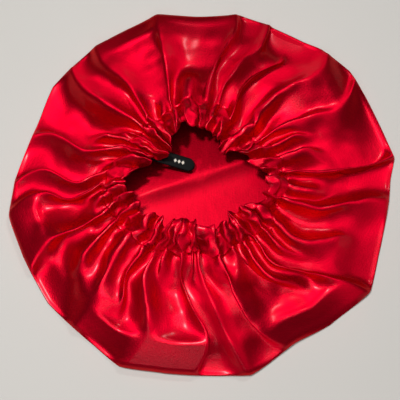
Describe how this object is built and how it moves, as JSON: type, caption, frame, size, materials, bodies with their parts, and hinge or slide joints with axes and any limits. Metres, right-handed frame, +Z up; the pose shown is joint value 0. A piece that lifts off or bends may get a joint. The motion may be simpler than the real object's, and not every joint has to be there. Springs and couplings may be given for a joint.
{
  "type": "sleep bonnet",
  "caption": "Round satin sleep bonnet lying on its crown, its gathered elastic casing and open head hollow facing up, with a folded ribbon label inside the rim.",
  "frame": {"origin": "on the floor under the crown, under the middle of the laid outline's box", "axes": "+Z up out of the head opening, +X to the right and +Y away from someone who looks down on it"},
  "size_m": [0.3796, 0.3754, 0.0515],
  "materials": {
    "satin": "glossy polyester satin",
    "ribbon": "matt woven ribbon"
  },
  "bodies": {
    "root": {"crown": "satin", "casing": "satin", "loop_label": "ribbon"}
  },
  "joints": []
}
